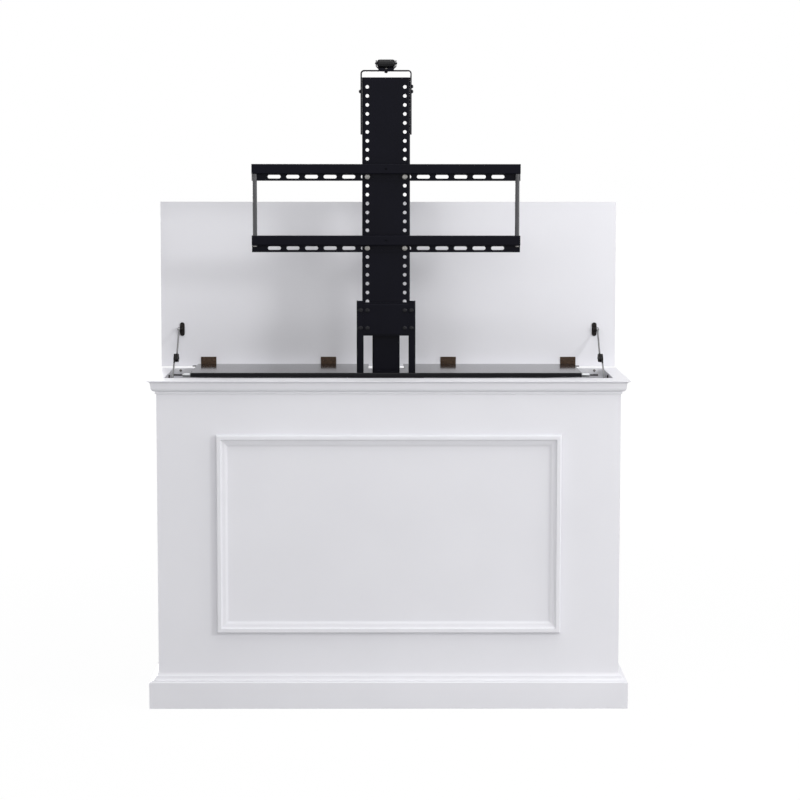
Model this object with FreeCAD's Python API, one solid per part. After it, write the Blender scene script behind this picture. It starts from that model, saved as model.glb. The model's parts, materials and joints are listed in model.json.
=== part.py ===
import FreeCAD, Part
import math
import os

# TV lift cabinet: a painted cabinet with a crown and a plinth, a hinged lid on two folding stays,
# and a three-stage telescopic column that carries a post, two slotted bars and a shelf.
# Millimetres. X to the right, Y from the crown's front lip to the back, Z up from the floor.
# The lift is raised and the lid is open.

V = FreeCAD.Vector
AXIS_X, AXIS_Y, AXIS_Z = V(1, 0, 0), V(0, 1, 0), V(0, 0, 1)

# ---- Clearances ----
gap = 0.3                     # between pieces of different bodies
running = 0.05                # radial, shaft in hole
lid_clear = 2.0               # roller's top over the rim when the lift is down
landing_gap = 9.7             # shelf plate over the base plate when the lift is down
foot_clear = 6.0              # middle column's foot over the base plate when the lift is down
stage_gap = 2.0               # middle column's top over the guide when the lift is down
slot_room = 8.0               # belt slot past the anchor

# ---- Cabinet ----
body_width = 1280.0
cabinet_depth = 480.0         # crown lip to back face
cabinet_height = 915.0
front_t = 18.0
side_t = 15.0
back_t = 12.0
floor_t = 15.0
glide_h = 5.0
glide_r = 14.0
glide_inset = 60.0
plinth_lift = 1.5             # plinth stands this far off the floor
crown_overhang = 25.0
crown_h = 38.0
base_overhang = 25.0
base_flat_h = 72.0
base_cap_h = 28.0
top_rail_depth = 64.0
top_rail_t = 18.0
hinge_rail_h = 29.0
hinge_rail_t = 19.0
batten = 25.0
frame_strip_w = 31.5
frame_strip_t = 14.0
frame_margin_x = 163.5        # body edge to the front frame
frame_margin_z = 112.5        # crown or plinth to the frames
access_side_room = 315.0      # side wall to the access opening
access_base_z = 240.0
access_top_drop = 295.0       # rim to the access opening
access_lap = 15.0
access_t = 6.0
access_round = 12.0
cable_hole_r = 30.0
cable_hole_z = 150.0
cable_hole_in = 195.0         # from the right wall's inner face

# ---- Lid ----
lid_overhang = 21.5           # past the body at each side
lid_t = 20.0
lid_set_back = 1.8            # behind the crown's lip when closed
lid_step = 4.0                # square edge on top of the cove
lid_cove = 8.0
lid_edge_band = 60.0          # width of the moulded border as it is cut
lid_open = 91.25              # degrees from closed, at rest
hinge_leaf_t = 1.6
hinge_leaf_w = 45.0
hinge_leaf_l = 31.1           # pin axis to leaf edge
hinge_barrel_r = 2.6
hinge_pin_r = 1.3
hinge_end_inset = 116.0       # body edge to the outer hinges

# ---- Folding stays ----
stay_lid_reach = 111.6        # along the lid, hinge pin to stay pivot
stay_stand = 9.5              # pivot in front of the lid face
stay_wall_back = 200.0        # cabinet back face forward to the wall pivot
stay_wall_drop = 28.0         # wall pivot under the rim
stay_break = 0.52             # knuckle's place along the stay, from the lid
stay_bend = 4.0               # knuckle off the straight line
stay_plate_in = 24.5          # wall's inner face to the lid plate's middle
stay_plate_w = 14.0
stay_plate_l = 39.6
stay_plate_t = 2.4
stay_lug_w = 10.0
stay_arm_in = 15.5            # wall's inner face to the upper arm's middle
stay_block_t = 5.2
stay_block_w = 14.0
stay_block_l = 30.0
stay_rod_r = 2.5
stay_lower_w = 8.0
stay_lower_t = 4.0
stay_eye_r = 6.5
stay_pin_r = 3.0
stay_pin_end = 1.5            # pin past its arm
wall_plate_w = 16.0
wall_plate_l = 46.0
wall_plate_t = 3.0

# ---- Lift column ----
lift_x = -7.0                 # lift centre, off the cabinet's centre
column_back_room = 224.0      # cabinet back face forward to the column
outer_half = 46.0
outer_deep = 106.0
outer_wall = 3.0
outer_round = 7.0
outer_top_drop = 125.0        # rim to the outer column's top
middle_half = 38.7
middle_deep = 80.0
middle_wall = 2.5
middle_round = 6.0
middle_inset = 7.5            # outer front face to middle front face
inner_half = 31.0
inner_deep = 46.0
inner_wall = 2.5
inner_round = 5.0
inner_inset = 7.5
inner_foot_up = 90.0          # inner foot over the middle one when the lift is down
inner_under_post = 1.0
base_plate_t = 4.0
base_plate_half = 100.0
base_plate_ahead = 30.0
base_plate_behind = 78.0
base_plate_round = 12.0
base_bolt_r = 8.0
base_bolt_h = 4.5
base_bolt_inset = 16.0
guide_h = 40.0
guide_flange = 4.0
bracket_over_access = 10.0
bracket_h = 40.0
bracket_t = 3.0
bracket_half = 35.0
bracket_ear = 30.0

# ---- Drive ----
rack_module = 2.0
rack_x = 20.0                 # from the lift centre
rack_w = 16.0
rack_base = 8.0
rack_over = 15.0              # rack past the pinion at each end of the travel
backlash = 0.12               # taken off each tooth flank
pinion_teeth = 18
pinion_w = 14.0
pinion_under = 50.0           # outer column's top down to the pinion
pinion_shaft_r = 4.0
gearbox_half = 36.0
gearbox_deep = 56.0
gearbox_h = 70.0
gearbox_round = 6.0
motor_r = 27.5
motor_h = 145.0
motor_cap_h = 8.0
motor_cap_in = 6.0
belt_x = -18.0
belt_w = 10.0
belt_t = 1.5
pulley_r = 8.0
belt_top_in = 18.0            # middle column's top down to the upper belt axle
pulley_bottom_up = 45.0
pulley_axle_r = 2.0
anchor_under = 40.0           # outer column's top down to the belt's anchor
anchor_h = 16.0
belt_slot_half = 10.0
control_box_w = 47.0
control_box_d = 130.0
control_box_h = 190.0
control_box_back = 38.0       # to the back panel
control_box_z = 130.0
control_box_round = 8.0
inlet_w = 24.0
inlet_l = 28.0
inlet_deep = 16.0
socket_w = 16.0
socket_deep = 10.0
socket_pitch = 24.0

# ---- Carriage ----
shelf_side_gap = 80.0         # shelf end to the side wall, less the lift's offset
shelf_front_in = 90.0         # body front to the shelf's front edge
shelf_back_room = 40.0        # shelf's back edge to the cabinet's back face
shelf_up = 1.7                # shelf's underside over the rim when the lift is up
shelf_t = 12.0
shelf_notch_half = 50.0
shelf_notch_clear = 6.0
shelf_notch_round = 10.0
shelf_edge_r = 2.5
shelf_plate_half = 106.0
shelf_plate_t = 3.0
shelf_plate_room = 80.0       # its back edge to the cabinet's back face
post_half = 67.4
post_ahead = 7.0              # post's face in front of the outer column
post_sheet = 3.0
post_flange = 26.0
post_bend = 8.0
post_over_shelf = 105.3
post_under_strap = 20.5
hole_low_up = 116.8           # shelf's top to the lowest holes
hole_top_edge = 26.0          # least distance of the top holes from the post's top
hole_pitch = 25.0
hole_spacing = 105.3
hole_r = 5.0
spacer_drop = 60.0            # spacer's length below the inner column's top
spacer_wall = 3.0
carriage_plate_t = 6.0
carriage_plate_half = 79.0
carriage_plate_h = 94.2
carriage_plate_up = 95.1      # over the shelf's top
cover_half = 63.2
cover_t = 4.5
cover_up = 99.6               # over the shelf's top
cover_h = 86.7
cover_round = 4.0
hanger_out = 83.0
hanger_w = 19.5
hanger_t = 3.0
hanger_h = 193.8
hanger_side = 24.0
hanger_round = 4.0
screw_head_r = 6.5
screw_head_h = 3.0
screw_r = 3.0
screw_out = 71.6
nut_flats = 10.0
nut_h = 5.0
bar_half = 377.5
bar_rows = (10, 18)           # holes counted down from the post's top
bar_sheet = 2.5
bar_flange_below = 11.5       # flange's lower edge under the bolt row
bar_flange_above = 8.0        # band's lower edge over the bolt row
bar_band = 27.5
bar_proud = 18.0
bar_bend = 0.3                # inner radius of its folds
bar_centre_hole_r = 2.6
slot_pitch = 52.4
slot_count = 13
slot_l = 36.5
slot_w = 10.0
rod_inset = 8.9               # bar's end to the rod's axis
rod_r = 6.2
rod_past = 2.0                # rod's end under the lower bar's ledge
bolt_flange_r = 7.7
bolt_flange_t = 1.6
bolt_hex = 13.0
bolt_head_h = 6.0
bolt_shank_r = 3.9
bolt_past = 9.0
bolt_nut_h = 6.5
strap_t = 4.0
strap_w = 20.0
strap_leg = 179.5
strap_round = 10.0
stud_r = 3.0
stud_past = 4.5
stud_nut_h = 3.2
stud_nut_flats = 8.0
roller_r = 11.0
roller_half = 25.5
roller_end_r = 6.0            # length of its tapered ends
roller_end_step = 1.8         # first, steeper part of the taper
roller_axle_r = 2.5
axle_up = 18.5                # roller's axle over the strap
axle_past = 2.0
fork_t = 3.0
fork_half = 29.0
fork_w = 18.0
fork_foot = 22.0              # half width where it stands on the strap
fork_lip = 2.5                # height of its upright edge there
fork_knee = 9.5               # height where its cheeks turn upright
fork_pad = 5.5                # thickness beside the bolt
fork_recess = 6.0             # half width of the bolt's seat
fork_wall_h = 8.4             # height of the wall behind the roller
fork_wall_t = 2.5

# ---- Worked-out places ----
body_half = body_width / 2
body_front = crown_overhang
inside_half = body_half - side_t
inside_front = body_front + front_t
inside_back = cabinet_depth - back_t
floor_top = glide_h + floor_t
access_w = 2 * (inside_half - access_side_room)
access_h = cabinet_height - access_top_drop - access_base_z
cable_hole_x = inside_half - cable_hole_in
lid_width = body_width + 2 * lid_overhang
lid_length = cabinet_depth - lid_set_back
hinge_outer = body_half - hinge_end_inset
hinge_spots = (-hinge_outer, -hinge_outer / 3, hinge_outer / 3, hinge_outer)
hinge_y = cabinet_depth + hinge_barrel_r + gap
hinge_z = cabinet_height     # the fixed leaves are let into the rim
lid_gap = hinge_y - cabinet_depth
stay_plate_x = inside_half - stay_plate_in
stay_upper_x = inside_half - stay_arm_in

column_foot = floor_top + base_plate_t
column_front = cabinet_depth - column_back_room
outer_back = column_front + outer_deep
outer_top = cabinet_height - outer_top_drop
base_plate_front = column_front - base_plate_ahead
base_plate_back = outer_back + base_plate_behind
bracket_z = access_base_z + access_h + access_lap + bracket_over_access
lift_travel = cabinet_height + shelf_up - shelf_plate_t - column_foot - landing_gap
stage_travel = lift_travel / 2

middle_front = column_front + middle_inset
middle_back = middle_front + middle_deep
middle_foot = column_foot + foot_clear + stage_travel
middle_top = outer_top + guide_flange + stage_gap + stage_travel
middle_length = middle_top - middle_foot
inner_front = middle_front + inner_inset
inner_back = inner_front + inner_deep
inner_bottom = middle_foot + inner_foot_up + stage_travel

pinion_z = outer_top - pinion_under
pitch_line_y = middle_back + rack_base + 1.25 * rack_module
pinion_r = rack_module * pinion_teeth / 2
pinion_y = pitch_line_y + pinion_r
rack_length = stage_travel + 2 * rack_over
pulley_y = (inner_back + middle_back - middle_wall) / 2
pulley_top_up = middle_length - belt_top_in
anchor_z = outer_top - anchor_under
control_box_y = inside_back - control_box_back - control_box_d

shelf_half = inside_half - shelf_side_gap
shelf_front = body_front + shelf_front_in
shelf_back = cabinet_depth - shelf_back_room
shelf_plate_back = cabinet_depth - shelf_plate_room
shelf_bottom = cabinet_height + shelf_up
shelf_top = shelf_bottom + shelf_t
roller_z = cabinet_height + lid_clear - roller_r + lift_travel
strap_top = roller_z - axle_up
strap_bottom = strap_top - strap_leg
post_top = strap_top - post_under_strap
post_bottom = shelf_top + post_over_shelf
post_front = column_front - post_ahead
post_mid_y = post_front + post_flange / 2
inner_top = post_top - inner_under_post
hole_row_low = shelf_top + hole_low_up
hole_rows = int((post_top - hole_top_edge - hole_row_low) / hole_pitch) + 1
hole_row_top = hole_row_low + (hole_rows - 1) * hole_pitch
screw_rows = (hole_rows - 3, hole_rows - 1)
carriage_plate_z = shelf_top + carriage_plate_up
cover_z0 = shelf_top + cover_up
cover_z1 = cover_z0 + cover_h
hanger_top = shelf_top + hanger_h
rod_half = bar_half - rod_inset

rear_reach = (hinge_y + (hinge_leaf_t + lid_t) * math.sin(math.radians(lid_open))
              - (lid_gap + lid_length - lid_cove) * math.cos(math.radians(lid_open)))
middle_of_depth = rear_reach / 2      # the part's origin is at the middle of its footprint

parts = {}


def save(name, *solids):
    """Keep a node made of one or more solids."""
    flat = []
    for solid in solids:
        flat.extend(solid.Solids)
    parts[name] = flat[0] if len(flat) == 1 else Part.makeCompound(flat)


def box(x0, x1, y0, y1, z0, z1):
    return Part.makeBox(x1 - x0, y1 - y0, z1 - z0, V(x0, y0, z0))


def rod(radius, start, end):
    along = end - start
    return Part.makeCylinder(radius, along.Length, start, along)


def face(steps, place):
    """Closed face from corner points. A pair of points is an arc through the first to the second."""
    edges = []
    start = here = place(*steps[0])
    for step in steps[1:]:
        if isinstance(step[0], tuple):
            end = place(*step[1])
            edges.append(Part.Arc(here, place(*step[0]), end).toShape())
        else:
            end = place(*step)
            edges.append(Part.makeLine(here, end))
        here = end
    if (here - start).Length > 0.001:
        edges.append(Part.makeLine(here, start))
    return Part.Face(Part.Wire(edges))


def flat_at(z):
    return lambda a, b: V(a, b, z)


def side_at(x):
    return lambda a, b: V(x, a, b)


def front_at(y):
    return lambda a, b: V(a, y, b)


def rounded(a0, a1, b0, b1, r):
    """Corner points of a rectangle with rounded corners."""
    k = r * (1 - math.sqrt(0.5))
    return [(a0 + r, b0), (a1 - r, b0), ((a1 - k, b0 + k), (a1, b0 + r)), (a1, b1 - r),
            ((a1 - k, b1 - k), (a1 - r, b1)), (a0 + r, b1), ((a0 + k, b1 - k), (a0, b1 - r)),
            (a0, b0 + r), ((a0 + k, b0 + k), (a0 + r, b0))]


def prism(steps, place, along):
    return face(steps, place).extrude(along)


def rounded_block(x0, x1, y0, y1, z0, z1, r):
    """Block with its four upright edges rounded."""
    return prism(rounded(x0, x1, y0, y1, r), flat_at(z0), V(0, 0, z1 - z0))


def rounded_board(x0, x1, z0, z1, r, y, depth):
    """Board in the XZ plane with rounded corners."""
    return prism(rounded(x0, x1, z0, z1, r), front_at(y), V(0, depth, 0))


def tube(half, y0, y1, z0, z1, wall, r):
    """Upright rectangular tube about the lift's centre."""
    outside = rounded_block(lift_x - half, lift_x + half, y0, y1, z0, z1, r)
    inside = rounded_block(lift_x - half + wall, lift_x + half - wall, y0 + wall, y1 - wall,
                           z0, z1, r - wall)
    return outside.cut(inside)


def slot_cutter(centre, length, width, across, along):
    """Stadium-shaped cutter: centre, end-to-end length along one axis, swept along another."""
    half = (length - width) / 2
    side = along.cross(across).normalize() * (width / 2)
    tip = across * (width / 2)
    a, b = centre - across * half, centre + across * half
    edges = [
        Part.makeLine(a - side, b - side),
        Part.Arc(b - side, b + tip, b + side).toShape(),
        Part.makeLine(b + side, a + side),
        Part.Arc(a + side, a - tip, a - side).toShape(),
    ]
    return Part.Face(Part.Wire(edges)).extrude(along)


def mirrored(shape):
    return shape.mirror(V(0, 0, 0), AXIS_X)


# ---- Cabinet ----
def hinge_pocket(x):
    """Room in the rim for a hinge's fixed leaf, its floor under the leaf."""
    half = hinge_leaf_w / 2 + gap
    return box(x - half, x + half, hinge_y - hinge_leaf_l - gap, cabinet_depth + 1.0,
               hinge_z - hinge_leaf_t, hinge_z + 1.0)


def make_boards():
    bottom, top = glide_h, cabinet_height
    save("front_panel", box(-body_half, body_half, body_front, inside_front, bottom, top))
    left = box(-body_half, -inside_half, inside_front, cabinet_depth, bottom, top)
    save("side_panel_left", left)
    save("side_panel_right", mirrored(left))
    save("bottom_board", box(-inside_half, inside_half, inside_front, inside_back, bottom, floor_top))
    back = box(-inside_half, inside_half, inside_back, cabinet_depth, bottom, top)
    pockets = [hinge_pocket(x) for x in hinge_spots]
    door = rounded_board(-access_w / 2, access_w / 2, access_base_z, access_base_z + access_h,
                         access_round, inside_back, back_t)
    hole = rod(cable_hole_r, V(cable_hole_x, inside_back, cable_hole_z),
               V(cable_hole_x, cabinet_depth, cable_hole_z))
    save("back_panel", back.cut([door, hole] + pockets))
    lapped = rounded_board(-access_w / 2 - access_lap, access_w / 2 + access_lap,
                           access_base_z - access_lap, access_base_z + access_h + access_lap,
                           access_round, cabinet_depth, access_t)
    save("access_panel", lapped)
    save("front_top_rail", box(-inside_half, inside_half, inside_front, inside_front + top_rail_depth,
                               top - top_rail_t, top))
    rail = box(-inside_half, inside_half, inside_back - hinge_rail_t, inside_back,
               top - hinge_rail_h, top)
    save("hinge_rail", rail.cut(pockets))


def make_battens():
    front = box(inside_half - batten, inside_half, inside_front, inside_front + batten,
                floor_top, cabinet_height - top_rail_t)
    rear = box(inside_half - batten, inside_half, inside_back - batten, inside_back,
               floor_top, cabinet_height - hinge_rail_h)
    save("corner_battens", front, rear, mirrored(front), mirrored(rear))


def make_glides():
    spots = []
    inset = glide_inset
    for x in (-body_half + inset, 0.0, body_half - inset):
        for y in (inside_front + inset, inside_back - inset):
            spots.append(Part.makeCylinder(glide_r, glide_h, V(x, y, 0)))
    save("glides", *spots)


def crown_profile():
    """Outline of the crown: distance out from the body, height from the rim."""
    out, drop = crown_overhang, crown_h
    return [(0.0, 0.0), (out, 0.0), (out, -2.0), ((out - 6.8, -4.0), (out - 9.5, -8.5)),
            (out - 10.5, -0.47 * drop), ((out - 13.0, -0.68 * drop), (out - 20.0, -0.79 * drop)),
            (out - 21.5, -0.79 * drop), (out - 21.5, -0.95 * drop), (0.0, -drop)]


def base_profile():
    """Outline of the plinth: distance out from the body, height from the floor."""
    out, flat, cap = base_overhang, base_flat_h, base_cap_h
    return [(0.0, plinth_lift), (out, plinth_lift), (out, flat),
            ((out - 1.0, flat + 3.4), (out - 4.0, flat + 4.6)), (out - 7.0, flat + 4.6),
            (out - 7.0, flat + 6.6), ((out - 13.0, flat + 9.0), (out - 16.0, flat + 15.6)),
            (out - 18.5, flat + 15.6), (out - 18.5, flat + 18.0),
            ((out - 22.6, flat + 21.5), (0.0, flat + cap))]


def heights(profile):
    """Lowest and highest corner of an outline."""
    found = []
    for step in profile:
        points = step if isinstance(step[0], tuple) else [step]
        found += [point[1] for point in points]
    return min(found), max(found)


def mitred_surround(profile, lift, overhang):
    """Front, left and right runs of a moulding round the body, mitred at the front corners."""
    tip = body_half + overhang
    lowest, highest = heights(profile)
    low, high = lift + lowest - overhang, lift + highest + overhang
    front_run = prism(profile, lambda a, b: V(-tip, body_front - a, lift + b), V(2 * tip, 0, 0))
    front_plan = [(-tip, body_front - overhang), (tip, body_front - overhang),
                  (body_half, body_front), (-body_half, body_front)]
    front = front_run.common(prism(front_plan, flat_at(low), V(0, 0, high - low)))
    start = body_front - overhang
    side_run = prism(profile, lambda a, b: V(-body_half - a, start, lift + b),
                     V(0, cabinet_depth - start, 0))
    side_plan = [(-tip, start), (-body_half, body_front), (-body_half, cabinet_depth),
                 (-tip, cabinet_depth)]
    left = side_run.common(prism(side_plan, flat_at(low), V(0, 0, high - low)))
    return front, left, mirrored(left)


def make_mouldings():
    front, left, right = mitred_surround(crown_profile(), cabinet_height, crown_overhang)
    save("crown_front", front)
    save("crown_sides", left, right)
    front, left, right = mitred_surround(base_profile(), 0.0, base_overhang)
    save("base_front", front)
    save("base_sides", left, right)


def strip_profile():
    """Outline of the applied moulding: distance in from its outer edge, and proud of the panel."""
    w, t = frame_strip_w, frame_strip_t
    return [(0.0, 0.0), (0.0, 0.62 * t), ((0.9, 0.87 * t), (3.4, t)), (0.38 * w, t),
            ((0.43 * w, 0.72 * t), (0.60 * w, 0.55 * t)), (0.62 * w, 0.55 * t), (0.62 * w, 0.44 * t),
            ((0.78 * w, 0.38 * t), (0.93 * w, 0.17 * t)), (w, 0.12 * t), (w, 0.0)]


def frame_strip(length):
    """Mitred strip from x=0 to its length, lying on z=0 with its outer edge on y=0."""
    w = frame_strip_w
    run = prism(strip_profile(), side_at(0.0), V(length, 0, 0))
    plan = [(0.0, 0.0), (length, 0.0), (length - w, w), (w, w)]
    return run.common(prism(plan, flat_at(-1.0), V(0, 0, frame_strip_t + 2.0)))


def picture_frame(width, height):
    """Four strips round a rectangle in the XY plane, proud towards +Z."""
    bottom, side = frame_strip(width), frame_strip(height)
    top = bottom.copy()
    top.rotate(V(width / 2, height / 2, 0), AXIS_Z, 180)
    right = side.copy()
    right.rotate(V(0, 0, 0), AXIS_Z, 90)
    right.translate(V(width, 0, 0))
    left = side.copy()
    left.rotate(V(0, 0, 0), AXIS_Z, -90)
    left.translate(V(0, height, 0))
    return [bottom, top, left, right]


def make_frames():
    low = base_flat_h + base_cap_h + frame_margin_z
    height = cabinet_height - crown_h - frame_margin_z - low
    width = body_width - 2 * frame_margin_x
    strips = picture_frame(width, height)
    for strip in strips:
        strip.rotate(V(0, 0, 0), AXIS_X, 90)
        strip.translate(V(-width / 2, body_front, low))
    save("front_frame_strips", *strips)


# ---- Lid and its hinges ----
def opened(shape):
    """Turn a lid piece from closed to open about the hinge pins."""
    turned = shape.copy()
    turned.rotate(V(0, hinge_y, hinge_z), AXIS_X, -lid_open)
    return turned


def make_lid():
    under = hinge_z + hinge_leaf_t
    rear = cabinet_depth
    half, front = lid_width / 2, rear - lid_length
    step, cove, band = lid_step, lid_cove, lid_edge_band
    k = cove * (1 - math.sqrt(0.5))
    edge = [(0.0, 0.0), (0.0, lid_t - step - cove), ((k, lid_t - step - k), (cove, lid_t - step)),
            (cove, lid_t), (band, lid_t), (band, 0.0)]
    front_lip = prism(edge, lambda a, b: V(-half, front + a, under + b), V(2 * half, 0, 0))
    side_lip = prism(edge, lambda a, b: V(-half + a, front, under + b), V(0, lid_length, 0))
    keep = prism([(-half, front), (half, front), (half - band, front + band),
                  (-half + band, front + band)], flat_at(under), V(0, 0, lid_t))
    keep_side = prism([(-half, front), (-half + band, front + band), (-half + band, rear),
                       (-half, rear)], flat_at(under), V(0, 0, lid_t))
    left = side_lip.common(keep_side)
    lid = box(-half + band, half - band, front + band, rear, under, under + lid_t)
    lid = lid.fuse([front_lip.common(keep), left, mirrored(left)]).removeSplitter()
    save("lid_panel", opened(lid))


def knuckles(x, own):
    """Ends of the barrel pieces: the outer two are the fixed leaf's own, the middle one the lid's."""
    half, third = hinge_leaf_w / 2, hinge_leaf_w / 6
    if own:
        return [(x - half, x - third - gap / 2), (x + third + gap / 2, x + half)]
    return [(x - third + gap / 2, x + third - gap / 2)]


def hinge_leaf(x, own):
    """Leaf in its closed place: the fixed one under the pin's plane, the lid's one over it."""
    z0, z1 = (hinge_z - hinge_leaf_t, hinge_z) if own else (hinge_z, hinge_z + hinge_leaf_t)
    plate = box(x - hinge_leaf_w / 2, x + hinge_leaf_w / 2, hinge_y - hinge_leaf_l, cabinet_depth,
                z0, z1)
    pieces = []
    bores = []
    for x0, x1 in knuckles(x, own):
        pieces.append(rod(hinge_barrel_r, V(x0, hinge_y, hinge_z), V(x1, hinge_y, hinge_z)))
        pieces.append(box(x0, x1, cabinet_depth - 1.0, hinge_y, z0, z1))
        bores.append(rod(hinge_pin_r + running, V(x0, hinge_y, hinge_z), V(x1, hinge_y, hinge_z)))
    return plate.fuse(pieces).cut(bores).removeSplitter()


def make_hinges():
    save("hinge_leaves_fixed", *[hinge_leaf(x, True) for x in hinge_spots])
    save("hinge_leaves_lid", *[opened(hinge_leaf(x, False)) for x in hinge_spots])
    half = hinge_leaf_w / 2
    save("hinge_pins", *[rod(hinge_pin_r, V(x - half, hinge_y, hinge_z), V(x + half, hinge_y, hinge_z))
                         for x in hinge_spots])


# ---- Folding stays ----
def stay_points():
    """Lid pivot, knuckle and wall pivot of the open stay, in the YZ plane."""
    lean = math.radians(lid_open)
    along = (-math.cos(lean), math.sin(lean))
    out = (-math.sin(lean), -math.cos(lean))
    off = stay_stand - hinge_leaf_t
    lid = (hinge_y + along[0] * stay_lid_reach + out[0] * off,
           hinge_z + along[1] * stay_lid_reach + out[1] * off)
    wall = (cabinet_depth - stay_wall_back, cabinet_height - stay_wall_drop)
    dy, dz = lid[0] - wall[0], lid[1] - wall[1]
    reach = math.hypot(dy, dz)
    knuckle = (lid[0] - stay_break * dy + stay_bend * dz / reach,
               lid[1] - stay_break * dz - stay_bend * dy / reach)
    return lid, knuckle, wall


def link_block(x0, x1, at, towards, length, width):
    """Round-ended block across a pivot, pointing along an arm."""
    dy, dz = towards[0] - at[0], towards[1] - at[1]
    size = math.hypot(dy, dz)
    along = V(0, dy / size, dz / size)
    centre = V(x0, at[0], at[1]) + along * (length / 2 - width / 2)
    return slot_cutter(centre, length, width, along, V(x1 - x0, 0, 0))


def knuckle_block(x, at, towards):
    """Block at the middle joint of a stay, centred on it and in line with its arm."""
    dy, dz = towards[0] - at[0], towards[1] - at[1]
    along = V(0, dy, dz).normalize()
    return slot_cutter(V(x - stay_block_t / 2, at[0], at[1]), stay_block_l, stay_block_w, along,
                       V(stay_block_t, 0, 0))


def make_stays():
    lid, knuckle, wall = stay_points()
    half_block = stay_block_t / 2
    x_up = stay_upper_x
    x_low = stay_upper_x + stay_block_t + 2 * gap
    # plate on the lid, with its lug and pivot pin
    lean = lid_open - 90.0
    face_y = hinge_y + hinge_leaf_t
    pivot_y, pivot_z = face_y - stay_stand, hinge_z + stay_lid_reach
    lug_r = stay_lug_w / 2
    plate = slot_cutter(V(stay_plate_x, face_y - stay_plate_t, pivot_z),
                        stay_plate_l, stay_plate_w, AXIS_Z, V(0, stay_plate_t, 0))
    lug_x0 = stay_plate_x - stay_pin_r
    lug_x1 = x_up - half_block - gap
    lug = box(lug_x0, lug_x1, pivot_y, face_y, pivot_z - lug_r, pivot_z + lug_r)
    lug = lug.fuse(rod(lug_r, V(lug_x0, pivot_y, pivot_z), V(lug_x1, pivot_y, pivot_z)))
    pin = rod(stay_pin_r, V(lug_x0, pivot_y, pivot_z),
              V(x_up + half_block + stay_pin_end, pivot_y, pivot_z))
    bracket = plate.fuse([lug, pin]).removeSplitter()
    bracket.rotate(V(0, hinge_y, hinge_z), AXIS_X, -lean)
    save("stay_lid_plates", bracket, mirrored(bracket))
    # upper arm: eye, rod and knuckle block
    eye = rod(stay_eye_r, V(x_up - half_block, lid[0], lid[1]), V(x_up + half_block, lid[0], lid[1]))
    arm = rod(stay_rod_r, V(x_up, lid[0], lid[1]), V(x_up, knuckle[0], knuckle[1]))
    bore = rod(stay_pin_r + running, V(x_up - half_block, lid[0], lid[1]),
               V(x_up + half_block, lid[0], lid[1]))
    upper = eye.fuse([arm, knuckle_block(x_up, knuckle, lid)]).cut(bore).removeSplitter()
    save("stay_upper_right", upper)
    save("stay_upper_left", mirrored(upper))
    # lower arm: knuckle block, flat arm and eye
    length = math.hypot(knuckle[0] - wall[0], knuckle[1] - wall[1])
    flat = link_block(x_low - stay_lower_t / 2, x_low + stay_lower_t / 2, wall, knuckle,
                      length + stay_lower_w / 2, stay_lower_w)
    eye = rod(stay_eye_r, V(x_low - stay_lower_t / 2, wall[0], wall[1]),
              V(x_low + stay_lower_t / 2, wall[0], wall[1]))
    bore = rod(stay_pin_r + running, V(x_low - half_block, wall[0], wall[1]),
               V(x_low + half_block, wall[0], wall[1]))
    lower = knuckle_block(x_low, knuckle, wall).fuse([flat, eye]).cut(bore).removeSplitter()
    save("stay_lower_right", lower)
    save("stay_lower_left", mirrored(lower))
    # plate on the side wall, with its pivot pin
    plate = slot_cutter(V(inside_half - wall_plate_t, wall[0], wall[1]), wall_plate_l, wall_plate_w,
                        AXIS_Z, V(wall_plate_t, 0, 0))
    boss = rod(stay_eye_r, V(x_low + stay_lower_t / 2 + gap, wall[0], wall[1]),
               V(inside_half, wall[0], wall[1]))
    pin = rod(stay_pin_r, V(x_low - stay_lower_t / 2 - stay_pin_end, wall[0], wall[1]),
              V(inside_half, wall[0], wall[1]))
    wall_plate = plate.fuse([boss, pin]).removeSplitter()
    save("stay_wall_plates", wall_plate, mirrored(wall_plate))


# ---- Column ----
def make_columns():
    outer = tube(outer_half, column_front, outer_back, column_foot, outer_top, outer_wall, outer_round)
    half = rack_w / 2 + 1.5
    tip = pinion_r + rack_module + 1.5
    window = box(lift_x + rack_x - half, lift_x + rack_x + half, outer_back - outer_wall - 1,
                 outer_back + 1, pinion_z - tip, pinion_z + tip)
    save("outer_column", outer.cut(window))
    middle = tube(middle_half, middle_front, middle_back, middle_foot, middle_top, middle_wall,
                  middle_round)
    slot_low = anchor_z - slot_room
    slot_high = anchor_z + anchor_h + stage_travel + slot_room
    slot = box(lift_x + belt_x - belt_slot_half, lift_x + belt_x + belt_slot_half,
               middle_back - middle_wall - 1, middle_back + 1, slot_low, slot_high)
    save("middle_column", middle.cut(slot))
    save("inner_column", tube(inner_half, inner_front, inner_back, inner_bottom, inner_top,
                              inner_wall, inner_round))
    save("lift_base_plate", rounded_block(lift_x - base_plate_half, lift_x + base_plate_half,
                                          base_plate_front, base_plate_back, floor_top, column_foot,
                                          base_plate_round))
    bolts = []
    inset = base_bolt_inset
    for x in (lift_x - base_plate_half + inset, lift_x + base_plate_half - inset):
        for y in (base_plate_front + inset, base_plate_back - inset):
            bolts.append(hex_prism(V(x, y, column_foot), AXIS_Z, 2 * base_bolt_r, base_bolt_h))
    save("base_bolts", *bolts)
    b, t = bracket_half, bracket_t
    y0, y1 = outer_back, inside_back
    plan = [(-b, y0), (b, y0), (b, y1 - t), (b + bracket_ear, y1 - t), (b + bracket_ear, y1),
            (b - t, y1), (b - t, y0 + t), (-b + t, y0 + t), (-b + t, y1), (-b - bracket_ear, y1),
            (-b - bracket_ear, y1 - t), (-b, y1 - t)]
    save("column_bracket", prism([(lift_x + x, y) for x, y in plan], flat_at(bracket_z),
                                 V(0, 0, bracket_h)))


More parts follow.
